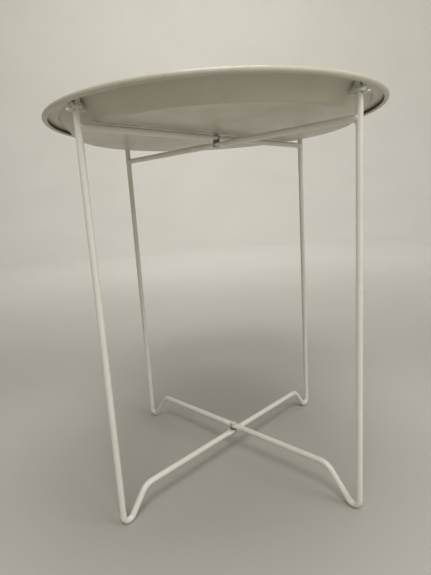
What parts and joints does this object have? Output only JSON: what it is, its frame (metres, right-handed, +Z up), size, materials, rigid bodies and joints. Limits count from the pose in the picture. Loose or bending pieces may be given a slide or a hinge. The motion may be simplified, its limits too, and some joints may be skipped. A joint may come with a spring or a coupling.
{
  "type": "folding table",
  "caption": "Round lift-off tray table on two nested bent-rod frames, riveted where they cross so they fold flat about the middle.",
  "frame": {"origin": "on the floor, on the table's middle axis, between the four feet", "axes": "+Z up, the outer frame lies along X, the inner frame along Y, the tray's rim is level"},
  "size_m": [0.45, 0.45, 0.5115],
  "materials": {
    "tray_paint": "warm off-white powder coat, semi-gloss",
    "frame_paint": "warm off-white powder coat, semi-gloss",
    "rivet_paint": "coated steel rivet, semi-gloss",
    "clip_plastic": "moulded off-white plastic, satin"
  },
  "bodies": {
    "outer_frame": {"outer_rod": "frame_paint", "outer_bar": "frame_paint", "lower_rivet": "rivet_paint", "upper_rivet": "rivet_paint", "lower_spacer": "rivet_paint", "upper_spacer": "rivet_paint", "outer_clip_right": "clip_plastic", "outer_clip_left": "clip_plastic"},
    "inner_frame": {"inner_rod": "frame_paint", "inner_bar": "frame_paint", "inner_clip_back": "clip_plastic", "inner_clip_front": "clip_plastic"},
    "tray": {"tray": "tray_paint"}
  },
  "joints": [
    {"name": "frame_fold", "type": "hinge", "parent": "outer_frame", "child": "inner_frame", "pos_m": [0, 0, 0.0466], "axis": [0, 0, 1], "range_deg": [-82, 82]},
    {"name": "tray_lift", "type": "slide", "parent": "outer_frame", "child": "tray", "axis": [0, 0, 1], "range_m": [0, 0.15]}
  ]
}
